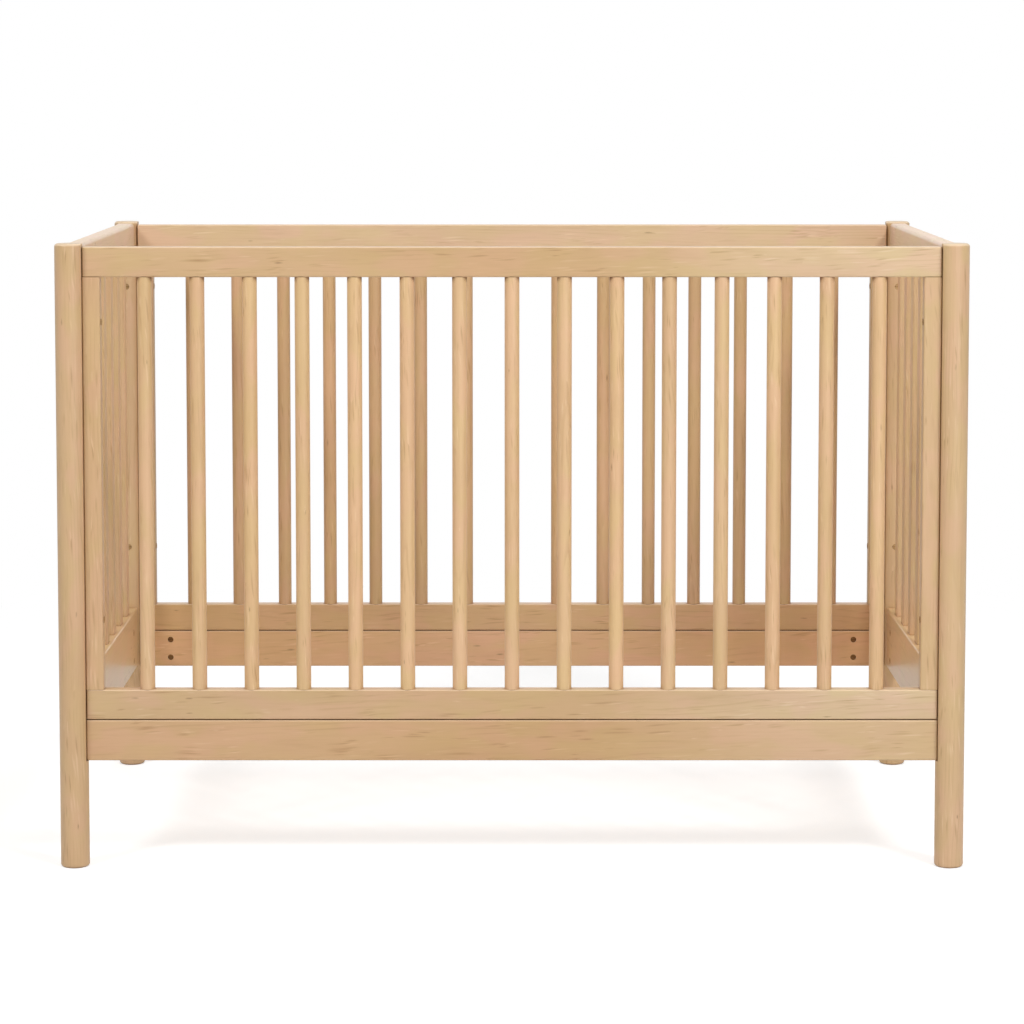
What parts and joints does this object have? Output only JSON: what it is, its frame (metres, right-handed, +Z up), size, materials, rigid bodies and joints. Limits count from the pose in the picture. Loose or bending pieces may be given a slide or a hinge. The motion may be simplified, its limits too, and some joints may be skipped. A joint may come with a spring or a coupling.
{
  "type": "baby crib",
  "caption": "Full-size fixed-side wooden baby crib: round corner posts, flat rails and aprons, round spindles front and back, slatted ends, bolted together; open inside for a mattress support.",
  "frame": {"origin": "on the floor, under the middle of the crib", "axes": "+X along the crib's length to the right end, +Y from the front panel to the back panel, +Z up"},
  "size_m": [1.417, 0.795, 0.979],
  "materials": {
    "lacquered_maple": "clear satin lacquer over pale maple",
    "bare_dowel_wood": "unfinished fluted beech dowel, hidden in its joint",
    "bronzed_steel": "antique bronze plated, dull"
  },
  "bodies": {
    "root": {"apron_barrel_nuts": "bronzed_steel", "apron_bolts": "bronzed_steel", "back_apron": "lacquered_maple", "back_bottom_rail": "lacquered_maple", "back_left_post": "lacquered_maple", "back_left_stile": "lacquered_maple", "back_right_post": "lacquered_maple", "back_right_stile": "lacquered_maple", "back_spindle_01": "lacquered_maple", "back_spindle_02": "lacquered_maple", "back_spindle_03": "lacquered_maple", "back_spindle_04": "lacquered_maple", "back_spindle_05": "lacquered_maple", "back_spindle_06": "lacquered_maple", "back_spindle_07": "lacquered_maple", "back_spindle_08": "lacquered_maple", "back_spindle_09": "lacquered_maple", "back_spindle_10": "lacquered_maple", "back_spindle_11": "lacquered_maple", "back_spindle_12": "lacquered_maple", "back_spindle_13": "lacquered_maple", "back_spindle_14": "lacquered_maple", "back_spindle_15": "lacquered_maple", "back_top_rail": "lacquered_maple", "end_rail_dowels": "bare_dowel_wood", "front_apron": "lacquered_maple", "front_bottom_rail": "lacquered_maple", "front_left_post": "lacquered_maple", "front_left_stile": "lacquered_maple", "front_right_post": "lacquered_maple", "front_right_stile": "lacquered_maple", "front_spindle_01": "lacquered_maple", "front_spindle_02": "lacquered_maple", "front_spindle_03": "lacquered_maple", "front_spindle_04": "lacquered_maple", "front_spindle_05": "lacquered_maple", "front_spindle_06": "lacquered_maple", "front_spindle_07": "lacquered_maple", "front_spindle_08": "lacquered_maple", "front_spindle_09": "lacquered_maple", "front_spindle_10": "lacquered_maple", "front_spindle_11": "lacquered_maple", "front_spindle_12": "lacquered_maple", "front_spindle_13": "lacquered_maple", "front_spindle_14": "lacquered_maple", "front_spindle_15": "lacquered_maple", "front_top_rail": "lacquered_maple", "left_end_bottom_rail": "lacquered_maple", "left_end_slats": "lacquered_maple", "left_end_top_rail": "lacquered_maple", "post_barrel_nuts": "bronzed_steel", "right_end_bottom_rail": "lacquered_maple", "right_end_slats": "lacquered_maple", "right_end_top_rail": "lacquered_maple", "stile_bolts": "bronzed_steel", "stile_dowels": "bare_dowel_wood", "support_inserts": "bronzed_steel"}
  },
  "joints": []
}
